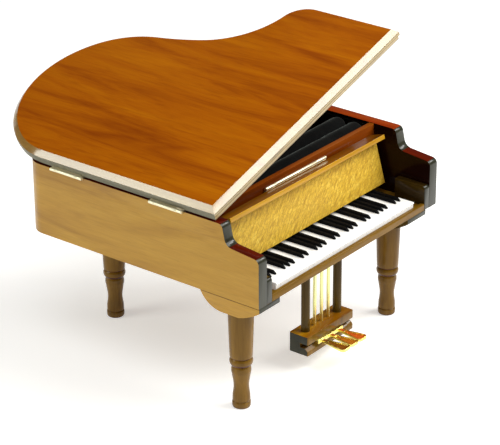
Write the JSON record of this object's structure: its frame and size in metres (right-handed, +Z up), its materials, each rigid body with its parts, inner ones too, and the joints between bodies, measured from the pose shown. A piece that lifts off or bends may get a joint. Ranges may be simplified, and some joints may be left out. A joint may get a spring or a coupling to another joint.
{
  "type": "miniature grand piano",
  "caption": "Doll-size wooden grand piano box: hinged lid over a velvet-lined compartment, hinged fallboard, moulded keyboard, turned legs and a pedal lyre.",
  "frame": {"origin": "on the table, under the middle of the whole piano's box with the lid at its rest angle", "axes": "+X from the bass side to the treble side, +Y from the keyboard to the tail, +Z up"},
  "size_m": [0.203, 0.2496, 0.2031],
  "materials": {
    "case_wood": "clear gloss lacquer over stained wood",
    "leg_wood": "clear gloss lacquer over stained wood",
    "lyre_wood": "dark stained wood, gloss lacquer",
    "lid_wood": "red-brown stained wood, high gloss lacquer",
    "fallboard_wood": "golden coarse-grained veneer, satin",
    "white_key_plastic": "gloss",
    "black_key_plastic": "gloss",
    "brass": "polished",
    "velvet": "short black pile",
    "felt": "pressed felt"
  },
  "bodies": {
    "case": {"rim": "case_wood", "key_bed": "case_wood", "key_slip": "case_wood", "cheek_bass": "case_wood", "cheek_treble": "case_wood", "belly_rail": "case_wood", "fallboard_rests": "case_wood", "bottom_board": "case_wood", "leg_block_bass": "case_wood", "leg_block_treble": "case_wood", "leg_block_rear": "case_wood", "leg_front_bass": "leg_wood", "leg_front_treble": "leg_wood", "leg_rear": "leg_wood", "lyre_post_bass": "lyre_wood", "lyre_post_treble": "lyre_wood", "lyre_base": "lyre_wood", "lyre_rods": "brass", "pedals": "brass", "white_keys": "white_key_plastic", "black_keys": "black_key_plastic", "fallboard_hinge_leaf_fixed": "brass", "fallboard_hinge_pin": "brass", "fallboard_hinge_screws_fixed": "brass", "lid_hinge_leaf_case_front": "brass", "lid_hinge_leaf_case_rear": "brass", "lid_hinge_pin_front": "brass", "lid_hinge_pin_rear": "brass", "lid_hinge_screws_case": "brass", "lid_bumpers": "felt", "lining_floor": "velvet", "lining_wall": "velvet", "ring_tray": "velvet", "ring_roll_front": "velvet", "ring_roll_rear": "velvet"},
    "lid": {"lid_board": "lid_wood", "lid_hinge_leaf_lid_front": "brass", "lid_hinge_leaf_lid_rear": "brass", "lid_hinge_screws_lid": "brass"},
    "fallboard": {"fallboard_lip": "fallboard_wood", "fallboard_panel": "fallboard_wood", "fallboard_hinge_leaf_moving": "brass", "fallboard_hinge_screws_moving": "brass"}
  },
  "joints": [
    {"name": "lid_hinge", "type": "hinge", "parent": "case", "child": "lid", "pos_m": [-0.10037, -0.00278, 0.1333], "axis": [0, -1, 0], "range_deg": [-17, 73]},
    {"name": "fallboard_hinge", "type": "hinge", "parent": "case", "child": "fallboard", "pos_m": [0.00113, -0.07293, 0.1282], "axis": [-1, 0, 0], "range_deg": [0, 12]}
  ]
}
